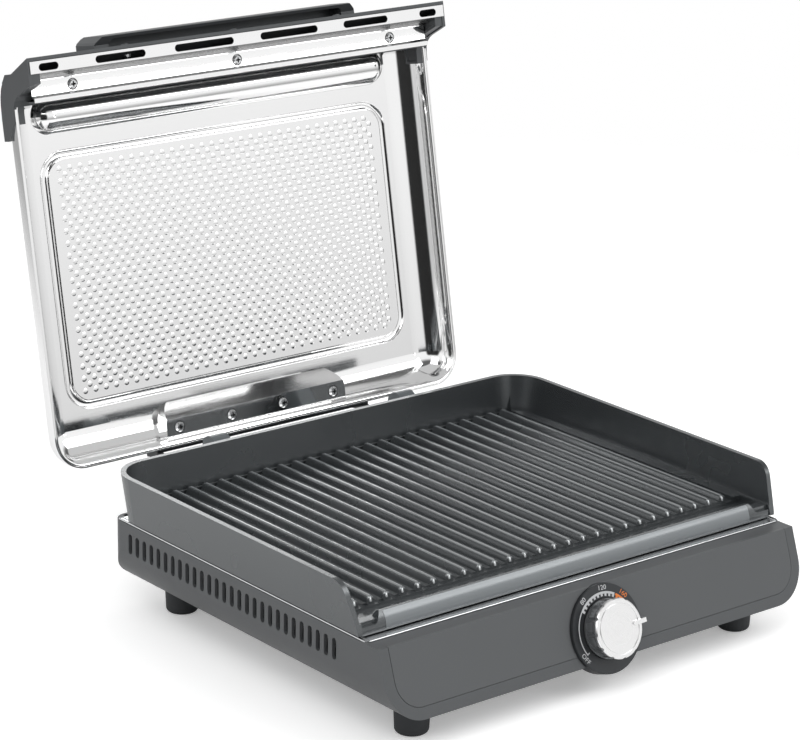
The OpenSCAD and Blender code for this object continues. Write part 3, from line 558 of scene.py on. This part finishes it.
def sheet_border():
    bm = bmesh.new()
    low_y, high_y = SHEET_Y - FIELD_Y, SHEET_Y + FIELD_Y
    hole = [(-FIELD_X, low_y), (FIELD_X, low_y), (FIELD_X, high_y), (-FIELD_X, high_y)]
    outline = rounded_outline(SHEET_HALF_X, SHEET_Y - SHEET_HALF_Y, SHEET_Y + SHEET_HALF_Y,
                              SHEET_CORNER)
    slab(bm, [outline, hole], LID_TOP - SHEET, LID_TOP, [outline])
    for row in range(ROWS):
        y = low_y + row * PITCH_Y
        x = FIELD_X - PITCH_X / 2 if row % 2 == 0 else -FIELD_X
        for z in (LID_TOP - SHEET, LID_TOP):
            corners = ((x, y), (x + PITCH_X / 2, y), (x + PITCH_X / 2, y + PITCH_Y),
                       (x, y + PITCH_Y))
            bm.faces.new([bm.verts.new((a, b, z)) for a, b in corners])
    mesh = bpy.data.meshes.new("sheet_border")
    bm.to_mesh(mesh)
    bm.free()
    return mesh


# %% Welding the tiles
WELD = 0.004    # vertices nearer than this are one
SLACK = 0.01    # how far an edge may be off its line


def weld_grid(bm):
    """Joins the tiles, and splits each open edge where a corner of its neighbour lies."""
    bmesh.ops.remove_doubles(bm, verts=bm.verts, dist=WELD)
    lines = {}

    def line_of(vert, axis):
        return (axis, round(vert.co[1 - axis] / (5 * SLACK)), round(vert.co.z, 1))

    loose = [edge for edge in bm.edges if edge.is_boundary]
    for edge in loose:
        for vert in edge.verts:
            for axis in (0, 1):
                lines.setdefault(line_of(vert, axis), set()).add(round(vert.co[axis], 3))
    for edge in loose:
        start, end = edge.verts
        axis = 0 if abs(start.co.y - end.co.y) < SLACK else 1
        if abs(start.co[1 - axis] - end.co[1 - axis]) > SLACK:
            continue
        if start.co[axis] > end.co[axis]:
            start, end = end, start
        for cut in sorted(lines[line_of(start, axis)]):
            if start.co[axis] + 2 * SLACK < cut < end.co[axis] - 2 * SLACK:
                share = (cut - start.co[axis]) / (end.co[axis] - start.co[axis])
                start = bmesh.utils.edge_split(edge, start, share)[1]
                edge = next(e for e in start.link_edges if e.other_vert(start) is end)
    bmesh.ops.remove_doubles(bm, verts=bm.verts, dist=WELD)


# %% Finished sheet
sheet_drawing = run_nodes(sheet_border(), stagger_tree(LID_STEEL), {
    "Tile": tile, "Columns": COLUMNS, "Rows": ROWS, "Pitch X": PITCH_X,
    "Pitch Y": PITCH_Y, "Centre Y": SHEET_Y, "Height": LID_TOP})
bpy.data.objects.remove(tile)
weld_grid(sheet_drawing)
print("open edges of the sheet", sum(not edge.is_manifold for edge in sheet_drawing.edges))
sheet = piece("dimpled_sheet", sheet_drawing, LID_PLACE, "lid", LID_STEEL, 13.0)
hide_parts("lid_mesh")

# %% [markdown]
# ## Folded strip
# The strip inside the front of the lid is one sheet of steel, folded several times: a
# flange with six slots, a web that leans outwards, a shelf with the screws, and a step.
# A bent sheet has the same section all along, so its section is drawn once and carried
# from end to end. Only the flange, which has the slots, is a flat plate with holes.

# %% Slotted flange
FLANGE_HALF = 194.5
FLANGE_BACK, FLANGE_FRONT, FLANGE_DOWN = 299.0, 308.0, 53.7   # measured as in behind()
SLOT_LINE, SLOT_RADIUS = 303.2, 2.8
SLOTS = ((-178.8, 17), (-115.8, 44.5), (-39.8, 54.4), (40.2, 55), (115.2, 44), (178.2, 17))


def slot_loop(x, width):
    """Outline of one slot with round ends, from the place of its middle and its width."""
    y, reach = LID_Y - SLOT_LINE, width / 2 - SLOT_RADIUS
    return (ring(x + reach, y, SLOT_RADIUS, 8, -90, 90)
            + ring(x - reach, y, SLOT_RADIUS, 8, 90, 270))


strip = bmesh.new()
flange_back, flange_low = behind(FLANGE_BACK, FLANGE_DOWN)
flange_front = LID_Y - FLANGE_FRONT
flange = [(-FLANGE_HALF, flange_front), (FLANGE_HALF, flange_front),
          (FLANGE_HALF, flange_back), (-FLANGE_HALF, flange_back)]
slab(strip, [flange] + [slot_loop(x, width) for x, width in SLOTS],
     flange_low, flange_low + SHEET)
print("slots", len(SLOTS), "in a flange of", 2 * FLANGE_HALF, "mm")

# %% Folds and finished strip
FOLD_HALF = 186.0
FOLDS = ((299.4, 53.7), (293.3, 38.0), (292.7, 37.5), (282.6, 37.5), (282.1, 37.7),
         (280.9, 40.2), (280.4, 40.5), (277.3, 40.5), (277.0, 40.2), (277.0, 28.5),
         (278.0, 28.5), (278.0, 39.5), (280.0, 39.5), (281.3, 36.9), (282.0, 36.5),
         (293.4, 36.5), (294.2, 37.3), (300.3, 52.8))
WEB_STARTS, WEB_ENDS = 38.5, 53.0   # depth below the top


def prism(bm, section, half):
    """Closed section of (y, z) points carried from -half to half along X."""
    ends = [[bm.verts.new((x, y, z)) for y, z in section] for x in (-half, half)]
    band(bm, *ends)
    for end in ends:
        bmesh.ops.triangulate(bm, faces=[bm.faces.new(end)])


prism(strip, [behind(*point) for point in FOLDS], FOLD_HALF)
# The faces of the leaning web get the darker steel, which is painted shade on the same sheet.
for face in strip.faces:
    down = [LID_TOP - vert.co.z for vert in face.verts]
    face.material_index = int(min(down) < WEB_STARTS and max(down) > WEB_ENDS)
strip_piece = piece("folded_strip", strip, LID_PLACE, "lid", [LID_STEEL, WEB_PAINTED_SHADE_STEEL],
                    25.0)
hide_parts("vent_plate")

# %% [markdown]
# ## Cheeks at the ends of the strip
# A moulded cheek closes each end of the folded strip. It has a raised rim round a sunken
# face, as mouldings do to stay stiff and flat. Its lower edge follows the swept wall of
# the plate at a small distance, so that the lid can shut.

# %% Moulded cheeks
CHEEK_OUT, CHEEK_IN, CHEEK_SUNK = 192.9, 186.2, 1.2
CHEEK_RIMS = (2.0, 0.6)   # width of the flat rim, then of the slope to the sunken face
CHEEK_SIDE = ((-167.2, 130.2), (-198.2, 130.2), (-204.2, 125.2), (-204.2, 87.0),
              (-196.7, 87.0), (-190.1, 104.5), (-188.3, 108.1), (-185.3, 111.2),
              (-180.5, 113.9), (-175.2, 114.8), (-167.2, 114.8))
cheeks = bmesh.new()
for side in (-1, 1):
    outer = [cheeks.verts.new((side * CHEEK_OUT, y, z)) for y, z in CHEEK_SIDE]
    inner = [cheeks.verts.new((side * CHEEK_IN, y, z)) for y, z in CHEEK_SIDE]
    band(cheeks, outer, inner)
    cheeks.faces.new(outer)
    face = cheeks.faces.new(inner)
    for rim in CHEEK_RIMS:
        cheeks.normal_update()
        bmesh.ops.inset_region(cheeks, faces=[face], thickness=rim, use_even_offset=True)
    for vert in face.verts:
        vert.co.x += side * CHEEK_SUNK
piece("lid_inner_cheeks", cheeks, LID_PLACE, "lid", HOUSING, 25.0)

# %% [markdown]
# ## Screw recesses
# Seven screws show inside the lid. What the eye catches first is the dark cross in each
# head and the thin dark ring of shadow under it. The heads are solids already, so only
# the crosses and the rings are added, as small dark bodies that stand just proud: painted
# shade of the recess in each head and painted shadow round it.

# %% Crosses and rings
RING_HEIGHT, CROSS_LIFT, CROSS_WIDTH, CROSS_REACH = 0.12, 0.45, 1.25, 0.86
SCREWS = ([(x, -192.2, 100.3, 101.7, 4.0) for x in (-150, 0, 150)]          # folded strip
          + [(x, 82.8, 124.2, 126.0, 4.2) for x in (-75, -25, 25, 75)])     # rear pocket


def block(bm, centre, size):
    bmesh.ops.create_cube(bm, size=1.0, matrix=Matrix.Translation(centre)
                          @ Matrix.Diagonal((*size, 1)))


marks = bmesh.new()
for x, y, head, seat, radius in SCREWS:
    reach = CROSS_REACH * radius
    for size in ((reach, CROSS_WIDTH, 1.0), (CROSS_WIDTH, reach, 1.0)):
        block(marks, (x, y, head + CROSS_LIFT), size)
    slab(marks, [ring(x, y, radius + wide, 24)[:-1] for wide in (0.05, 0.5)],
         seat - RING_HEIGHT, seat)
piece("screw_recesses", marks, LID_PLACE, "lid", SCREW_PAINTED_SHADE)

# %% [markdown]
# ## Ridges of the plate
# Along the top of each ridge the plate shows a narrow line of light. A gloss mask in the
# coat's material would need the exact place of each ridge, so a thin rounded cap with a
# glossier coat lies on it instead; the cap's coat is also lighter in colour, which is a
# painted highlight. One cap follows the nose and the top of a ridge, and Geometry Nodes
# repeats it across the plate.

# %% One cap
RIDGES, RIDGE_PITCH = 26, 13.85
CAP_PATH = ((-165.85, 83.2), (-165.0, 85.6), (-163.9, 86.55), (-162.6, 87.0), (82.8, 87.0))
CAP_HALF, CAP_HEIGHT, CAP_SUNK, CAP_STEPS = 1.15, 0.42, 0.3, 6


def cap_mesh():
    bm = bmesh.new()
    rings = []
    for k, (y, z) in enumerate(CAP_PATH):
        (ay, az), (by, bz) = CAP_PATH[max(k - 1, 0)], CAP_PATH[min(k + 1, len(CAP_PATH) - 1)]
        length = math.hypot(by - ay, bz - az)
        ny, nz = -(bz - az) / length, (by - ay) / length
        section = []
        for j in range(CAP_STEPS + 1):
            a = math.pi * j / CAP_STEPS
            lift = CAP_HEIGHT * math.sin(a)
            section.append(bm.verts.new((CAP_HALF * math.cos(a), y + ny * lift, z + nz * lift)))
        section.append(bm.verts.new((0.0, y - ny * CAP_SUNK, z - nz * CAP_SUNK)))
        rings.append(section)
    for low, high in zip(rings, rings[1:]):
        band(bm, low, high)
    bm.faces.new(rings[0])
    bm.faces.new(rings[-1])
    mesh = bpy.data.meshes.new("cap")
    bm.to_mesh(mesh)
    bm.free()
    return mesh


cap = link("cap", cap_mesh())
print("cap faces", len(cap.data.polygons))

# %% Geometry Nodes: row of caps
def row_tree(material):
    tree, given, made = new_group("ridge_row", "GeometryNodeTree", (
        ("Geometry", "Geometry"), ("Item", "Object"), ("Count", "Int"),
        ("Start", "Vector"), ("Step", "Vector")), (("Geometry", "Geometry"),))
    line = add(tree, "GeometryNodeMeshLine", {
        "Count": given.outputs["Count"], "Start Location": given.outputs["Start"],
        "Offset": given.outputs["Step"]})
    info = add(tree, "GeometryNodeObjectInfo", {"Object": given.outputs["Item"],
                                                "As Instance": True})
    onto = add(tree, "GeometryNodeInstanceOnPoints", {
        "Points": line.outputs[0], "Instance": info.outputs["Geometry"]})
    real = add(tree, "GeometryNodeRealizeInstances", {"Geometry": onto.outputs[0]})
    paint = add(tree, "GeometryNodeSetMaterial", {"Geometry": real.outputs[0],
                                                  "Material": material})
    tree.links.new(paint.outputs[0], made.inputs["Geometry"])
    return tree


# %% Finished caps
caps = run_nodes(bpy.data.meshes.new("nothing"), row_tree(RIDGE_GLOSS_AND_PAINTED_HIGHLIGHT), {
    "Item": cap, "Count": RIDGES, "Start": (-RIDGE_PITCH * (RIDGES - 1) / 2, 0.0, 0.0),
    "Step": (RIDGE_PITCH, 0.0, 0.0)})
bpy.data.objects.remove(cap)
piece("ridge_tops", caps, BASE_PLACE, "base", RIDGE_GLOSS_AND_PAINTED_HIGHLIGHT, 50.0)

# %% [markdown]
# ## Wall in front of the channel
# Fat runs off the ridges into a channel along the front, and the wall in front of it has
# a rounded outside that catches more light than the rest of the plate. That light is
# painted: a thin skin, much lighter in colour than the coat, lies on the same casting's curve.

# %% Skin of the wall
WALL_Y, WALL_Z, WALL_RADIUS, SKIN, WALL_HALF = -180.7, 77.0, 16.2, 0.3, 170.5
WALL_ANGLES = range(0, 45, 4)


def wall_arc(radius, angles):
    return [(WALL_Y - radius * math.cos(math.radians(a)), WALL_Z + radius * math.sin(math.radians(a)))
            for a in angles]


skin = bmesh.new()
prism(skin, wall_arc(WALL_RADIUS, WALL_ANGLES)
      + wall_arc(WALL_RADIUS - SKIN, reversed(WALL_ANGLES)), WALL_HALF)
piece("channel_wall_face", skin, BASE_PLACE, "base", BAR_PAINTED_SHEEN, 40.0)

# %% [markdown]
# ## Edge of the tray
# The flange of the steel tray lies between the base and the plate. Its rolled edge shows
# as a bright line along both sides. A rod along the edge and a flat strip inwards from
# it are enough for that, and they stay inside the outline of the plate above.

# %% Rolled edges
EDGE_X, EDGE_Z, EDGE_RADIUS, EDGE_STEPS = 193.1, 74.8, 0.75, 12
EDGE_FRONT, EDGE_BACK = -203.0, 86.0
edges = bmesh.new()
for side in (-1, 1):
    section = ring(side * EDGE_X, EDGE_Z, EDGE_RADIUS, EDGE_STEPS)[:-1]
    rod = [[edges.verts.new((x, y, z)) for x, z in section] for y in (EDGE_FRONT, EDGE_BACK)]
    band(edges, *rod)
    for end in rod:
        edges.faces.new(end)
    block(edges, (side * 191.6, (EDGE_FRONT + EDGE_BACK) / 2, 74.5),
          (3.0, EDGE_BACK - EDGE_FRONT, 0.8))
piece("tray_side_edges", edges, BASE_PLACE, "base", TRAY_STEEL, 50.0)

# %% [markdown]
# ## Hem of the lid
# The rim of a pressed lid is folded over so that it has no sharp edge. The fold is a
# small rounded bead that runs round the inside of the opening. It is swept: an oval
# section is set square to the outline at each of its points, and the sections are joined.

# %% Rolled hem
HEM_HALF, HEM_FRONT, HEM_BACK, HEM_CORNER = 194.9, LID_Y - 295.9, LID_Y - 0.1, 24.9
HEM_Z, HEM_WIDE, HEM_TALL, HEM_STEPS = 114.75, 1.7, 1.35, 12


def sweep(bm, outline, profile):
    """Carries a closed profile of (outwards, up) points along a closed plan outline."""
    count = len(outline)
    sections = []
    for k, (x, y) in enumerate(outline):
        (ax, ay), (bx, by) = outline[k - 1], outline[(k + 1) % count]
        length = math.hypot(bx - ax, by - ay)
        nx, ny = (by - ay) / length, -(bx - ax) / length
        sections.append([bm.verts.new((x + nx * d, y + ny * d, z)) for d, z in profile])
    for k in range(count):
        band(bm, sections[k - 1], sections[k])


profile = []
for k in range(HEM_STEPS):
    a = 2 * math.pi * k / HEM_STEPS
    profile.append((-HEM_WIDE + HEM_WIDE * math.cos(a), HEM_Z + HEM_TALL * math.sin(a)))
hem = bmesh.new()
sweep(hem, rounded_outline(HEM_HALF, HEM_FRONT, HEM_BACK, HEM_CORNER, 16), profile)
piece("lid_hem", hem, LID_PLACE, "lid", LID_STEEL, 60.0)

# %% [markdown]
# ## Marks round the dial
# Numbers, a grey scale for cooking and an orange stretch for searing are printed on the
# dark ring. They could be painted in the material, but a print this fine would blur, so
# each mark is a thin flat body of ink. Angles run clockwise from the top of the ring.

# %% Ink
def ink(name, colour):
    mat, tree, shader = new_material(name)
    mottle = place_group(tree, MOTTLE, {"Scale": 2500.0, "Rough low": 0.35,
                                        "Rough high": 0.55})
    shader.inputs["Base Color"].default_value = rgb(*colour)
    tree.links.new(mottle.outputs["Roughness"], shader.inputs["Roughness"])
    return mat


WHITE_INK = ink("ink_pale", (0.55, 0.56, 0.57))
ORANGE_INK = ink("ink_orange", (0.75, 0.20, 0.03))
INK_Z, INK_THICK = 2.46, 0.05


def polar(angle, radius):
    a = math.radians(90 - angle)
    return (radius * math.cos(a), radius * math.sin(a), INK_Z)


def thicken(bm):
    """Gives a flat print the thickness of a coat of ink."""
    bmesh.ops.remove_doubles(bm, verts=bm.verts, dist=0.0005)
    made = bmesh.ops.extrude_face_region(bm, geom=bm.faces[:], use_keep_orig=True)
    top = [item for item in made["geom"] if isinstance(item, bmesh.types.BMVert)]
    bmesh.ops.translate(bm, verts=top, vec=(0, 0, INK_THICK))


print("inks", WHITE_INK.name, ORANGE_INK.name)

# %% Scales
RIM, TEETH = (24.4, 26.0), (22.7, 24.36)   # inner and outer radius
TOOTH_STEP, TOOTH = 8.4, 4.4               # degrees


def arc(bm, start, end, radii, steps):
    low, high = ([bm.verts.new(polar(start + (end - start) * k / steps, radius))
                  for k in range(steps + 1)] for radius in radii)
    for k in range(steps):
        bm.faces.new((low[k], low[k + 1], high[k + 1], high[k]))


def teeth(bm, start, count):
    for k in range(count):
        arc(bm, start + k * TOOTH_STEP, start + k * TOOTH_STEP + TOOTH, TEETH, 3)


pale = bmesh.new()
arc(pale, -51, 29, RIM, 40)
teeth(pale, -51, 10)
arc(pale, -121.3, -51.1, (25.2, 26.0), 30)
arc(pale, -123, -121.4, (23.4, 26.0), 2)
thicken(pale)
piece("dial_scale", pale, DIAL_PLACE, "base", WHITE_INK)
hot = bmesh.new()
arc(hot, 31, 53, RIM, 12)
teeth(hot, 33, 3)
thicken(hot)
piece("dial_hot_scale", hot, DIAL_PLACE, "base", ORANGE_INK)

# %% Numbers
LABEL_RADIUS, LABEL_WIDER = 28.7, 1.12
LABELS = (("80", -36, 4.7, WHITE_INK), ("120", 4, 4.7, WHITE_INK), ("160", 44, 4.7, ORANGE_INK),
          ("OFF", -124, 4.6, WHITE_INK))


def label(words, angle, size, finish):
    curve = bpy.data.curves.new("words_" + words, "FONT")
    curve.body = words
    curve.size = size
    curve.align_x = "CENTER"
    curve.align_y = "CENTER"
    writing = link("words_" + words, curve)
    graph = bpy.context.evaluated_depsgraph_get()
    mesh = bpy.data.meshes.new_from_object(writing.evaluated_get(graph))
    bpy.data.objects.remove(writing)
    bm = bmesh.new()
    bm.from_mesh(mesh)
    thicken(bm)
    # the word at the foot of the ring reads from the middle outwards
    turn = 180 - angle if words == "OFF" else -angle
    spot = (Matrix.Translation(polar(angle, LABEL_RADIUS))
            @ Matrix.Rotation(math.radians(turn), 4, "Z")
            @ Matrix.Diagonal((LABEL_WIDER, 1.0, 1.0, 1.0)))
    piece("dial_" + words, bm, DIAL_PLACE @ spot, "base", finish)


for row in LABELS:
    label(*row)

# %% [markdown]
# ## Floor
# The grill stands on a plain pale floor that keeps its shadow. The floor glows a little
# where the camera sees it directly, so that it is white without more light on the
# grill, and it fades out before its edge could show.

# %% Floor
FLOOR_HALF, FLOOR_Z = 1.6, -0.0002
FLOOR_GLOW, FLOOR_MIRROR_GLOW = 0.3, 0.02
FADE_FROM, FADE_TO = 0.75, 1.5


def mirror_rays(tree, path):
    """1 for rays that a mirror or glass sends on, and 0 for the others."""
    return maths(tree, "MAXIMUM", path.outputs["Is Glossy Ray"],
                 path.outputs["Is Transmission Ray"])


floor_mesh = bpy.data.meshes.new("floor")
floor_mesh.from_pydata([(x * FLOOR_HALF, y * FLOOR_HALF, FLOOR_Z)
                        for x, y in ((-1, -1), (1, -1), (1, 1), (-1, 1))], [], [(0, 1, 2, 3)])
floor = link("floor", floor_mesh)
floor_mat, tree, shader = new_material("floor_white")
shader.inputs["Base Color"].default_value = rgb(0.97, 0.97, 0.97)
shader.inputs["Roughness"].default_value = 0.7
shader.inputs["Specular IOR Level"].default_value = 0.2
shader.inputs["Emission Color"].default_value = rgb(1.0, 1.0, 1.0)
path = add(tree, "ShaderNodeLightPath")
faint = maths(tree, "MULTIPLY", mirror_rays(tree, path), FLOOR_MIRROR_GLOW)
glow = add(tree, "ShaderNodeMath", {0: path.outputs["Is Camera Ray"], 1: FLOOR_GLOW, 2: faint},
           operation="MULTIPLY_ADD")
tree.links.new(glow.outputs[0], shader.inputs["Emission Strength"])
coord = add(tree, "ShaderNodeTexCoord")
reach = add(tree, "ShaderNodeVectorMath", {0: coord.outputs["Object"]}, operation="LENGTH")
fade = add(tree, "ShaderNodeMapRange", {"Value": reach.outputs["Value"], "From Min": FADE_FROM,
                                        "From Max": FADE_TO, "To Min": 1.0, "To Max": 0.0})
tree.links.new(fade.outputs[0], shader.inputs["Alpha"])
floor.data.materials.append(floor_mat)
print("floor", 2 * FLOOR_HALF, "m wide")

# %% [markdown]
# ## Room
# A pale room surrounds the grill. Polished steel shows the room and nothing else, so the
# room is white at the height of the lid, darker towards the floor and overhead, and has
# one dark card behind the camera, as a real studio has. The camera itself sees white.

# %% World
CARD_TOWARDS = (-0.7193, -0.6947, 0.0)
ROOM_GREYS = [(0.0, 0.34), (0.22, 0.40), (0.333, 0.74), (0.4, 0.95), (0.5, 0.97),
              (0.66, 0.93), (0.76, 0.12)]
CARD_GREYS = [(0.0, 1.0), (1.0, 0.03)]
LIGHT_ON_GRILL = 0.62


def ramp(tree, fac, stops):
    """A colour ramp of greys, from (place, brightness) stops."""
    node = add(tree, "ShaderNodeValToRGB", {"Fac": fac})
    elements = node.color_ramp.elements
    while len(elements) < len(stops):
        elements.new(0.5)
    for element, (place, grey) in zip(elements, stops):
        element.position = place
        element.color = (grey, grey, grey, 1.0)
    return node


world = bpy.data.worlds.new("studio")
bpy.context.scene.world = world
world.use_nodes = True
tree = world.node_tree
tree.nodes.clear()
path = add(tree, "ShaderNodeLightPath")
coord = add(tree, "ShaderNodeTexCoord")
split = add(tree, "ShaderNodeSeparateXYZ", {"Vector": coord.outputs["Generated"]})
towards = add(tree, "ShaderNodeVectorMath", {0: coord.outputs["Generated"], 1: CARD_TOWARDS},
              operation="DOT_PRODUCT")
across = add(tree, "ShaderNodeMapRange", {"Value": towards.outputs["Value"],
                                          "From Min": 0.87, "From Max": 0.92})
below = add(tree, "ShaderNodeMapRange", {"Value": split.outputs["Z"], "From Min": 0.34,
                                         "From Max": 0.26})
card = ramp(tree, maths(tree, "MULTIPLY", across.outputs[0], below.outputs[0]), CARD_GREYS)
tall = add(tree, "ShaderNodeMapRange", {"Value": split.outputs["Z"], "From Min": -0.5,
                                        "From Max": 1.0})
wall = ramp(tree, tall.outputs[0], ROOM_GREYS)
shade = maths(tree, "MULTIPLY", card.outputs["Color"], wall.outputs["Color"])
mirror = mirror_rays(tree, path)
drop = maths(tree, "MULTIPLY", maths(tree, "SUBTRACT", 1.0, shade), mirror)
room = maths(tree, "SUBTRACT", 1.0, drop)
seen = maths(tree, "MAXIMUM", path.outputs["Is Camera Ray"], mirror)
strength = add(tree, "ShaderNodeMapRange", {"Value": seen, "To Min": LIGHT_ON_GRILL,
                                            "To Max": 1.0})
sky = add(tree, "ShaderNodeBackground", {"Color": room, "Strength": strength.outputs[0]})
add(tree, "ShaderNodeOutputWorld", {"Surface": sky.outputs[0]})
print("world nodes", len(tree.nodes))

# %% [markdown]
# ## Lamps
# Three large soft lamps do the rest: one overhead, one in front on the left and one in
# front on the right. Small lamps would leave hard spots on the steel, so all are wide.

# %% Lamps
def lamp(name, place, aim, size, power):
    data = bpy.data.lights.new(name, "AREA")
    data.shape = "RECTANGLE"
    data.size, data.size_y = size
    data.energy = power
    obj = link(name, data)
    obj.location = place
    obj.rotation_euler = (Vector(aim) - Vector(place)).to_track_quat("-Z", "Y").to_euler()


lamp("top", (0.0, 0.6, 3.2), (0, 0.6, 0), (5.0, 5.0), 36)
lamp("key", (-1.5, -0.9, 1.7), (0, 0, 0.1), (1.2, 1.2), 13)
lamp("front", (1.38, -1.88, 1.85), (0, -0.1, 0.1), (1.6, 1.4), 23)
print("lamps", len(bpy.data.lights))

# %% [markdown]
# ## Camera
# A long lens from some way off keeps the edges of the grill nearly parallel. Its place,
# direction and lens were worked out from the edges of the grill itself, which is more
# exact than moving the camera about by hand.

# %% Camera
LENS, SENSOR = 137.491, 36.0
CAMERA_TURN = (72.46254, -0.91422, -38.92796)
cam_data = bpy.data.cameras.new("camera")
cam_data.sensor_width = SENSOR
cam_data.lens = LENS
cam_data.shift_x = 0.002153
cam_data.shift_y = -0.010689
cam_data.clip_end = 100.0
camera = link("camera", cam_data)
camera.location = (-1.358746, -1.660722, 0.858991)
camera.rotation_euler = [math.radians(a) for a in CAMERA_TURN]
bpy.context.scene.camera = camera
bpy.context.scene.view_settings.view_transform = "Standard"
print("camera lens", LENS, "mm")
